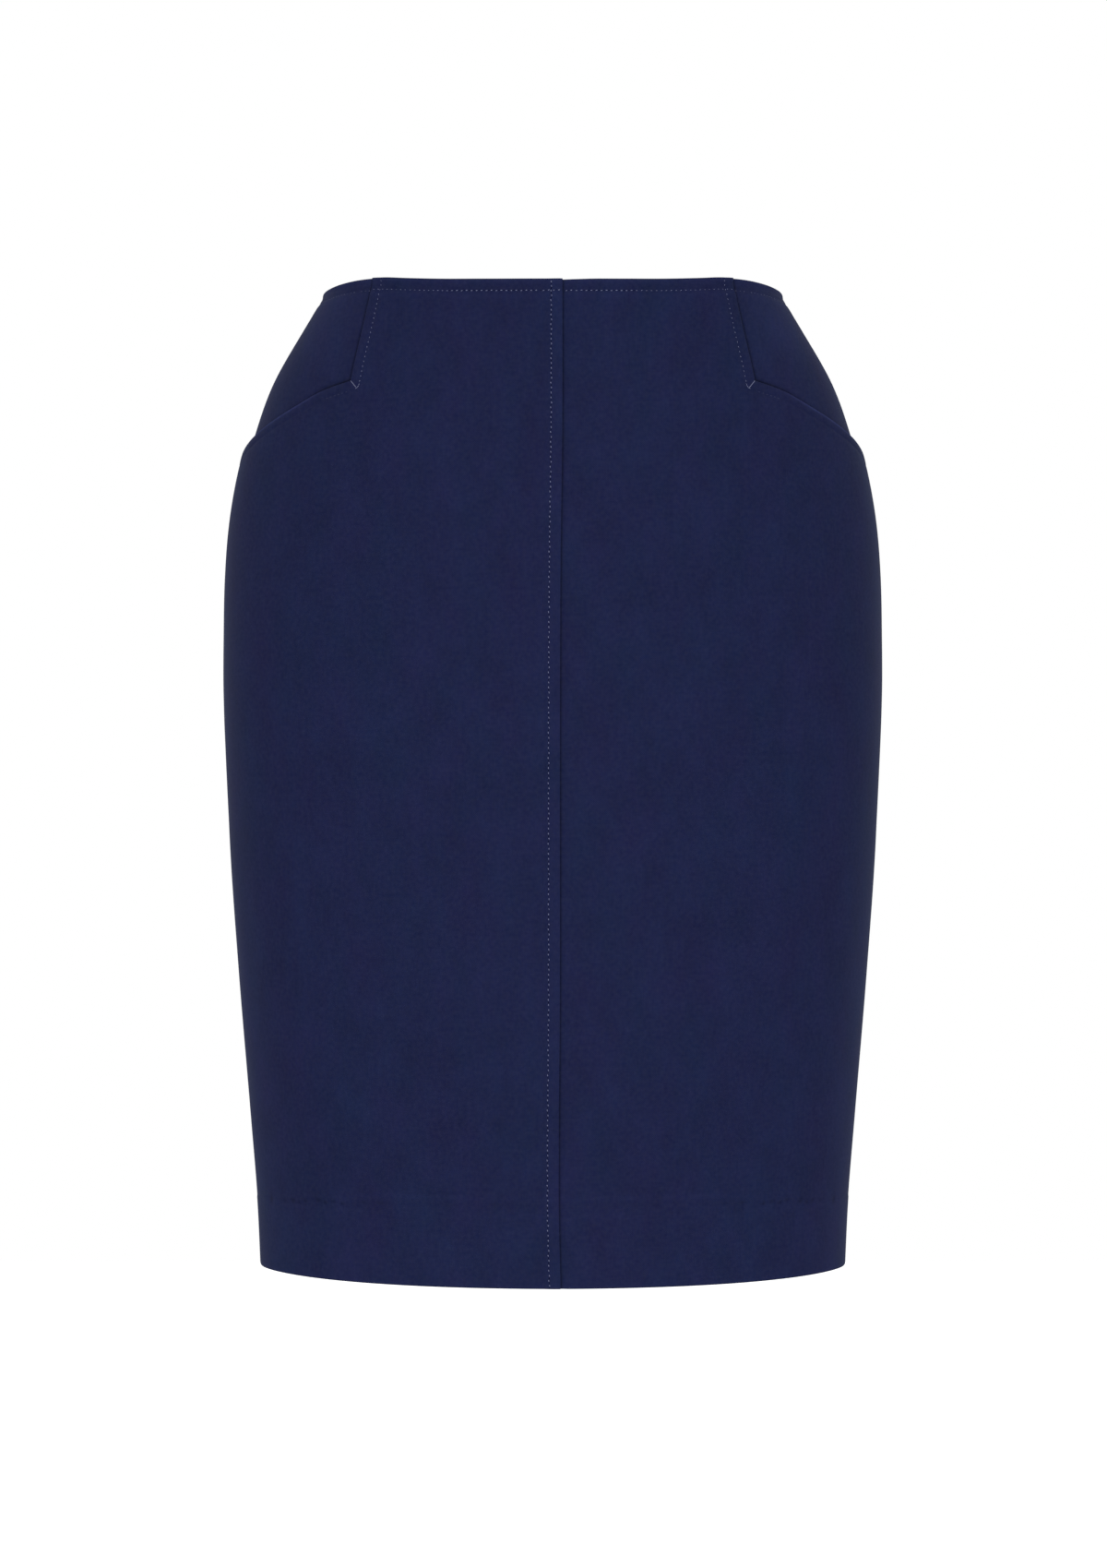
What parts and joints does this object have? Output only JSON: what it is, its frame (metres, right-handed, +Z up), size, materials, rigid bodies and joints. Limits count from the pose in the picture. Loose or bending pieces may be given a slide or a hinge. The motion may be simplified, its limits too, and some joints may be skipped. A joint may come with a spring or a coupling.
{
  "type": "pencil skirt",
  "caption": "Knee-length pencil skirt in the round shape it is worn in: turned waist edge, hip yokes over slanted pockets, lapped centre-front seam, concealed back zip and a turned-up hem.",
  "frame": {"origin": "middle of the waist opening, level with the waist edge at the sides", "axes": "+Z up to the wearer's head, -Y to the wearer's front, +X to the wearer's left"},
  "size_m": [0.3704, 0.2481, 0.5482],
  "materials": {
    "suiting": "smooth matt weave",
    "zip_tape": "woven tape",
    "zip_metal": "satin lacquer"
  },
  "bodies": {
    "skirt": {"front_panel_right": "suiting", "front_panel_left": "suiting", "hip_yoke_right": "suiting", "hip_yoke_left": "suiting", "back_panel_right": "suiting", "back_panel_left": "suiting", "back_zip": "zip_tape", "zip_slider": "zip_metal"},
    "pull": {"zip_pull": "zip_metal"}
  },
  "joints": [
    {"name": "pull_swing", "type": "hinge", "parent": "skirt", "child": "pull", "pos_m": [0, 0.09923, -0.0081], "axis": [1, 0, 0], "range_deg": [0, 150]}
  ]
}
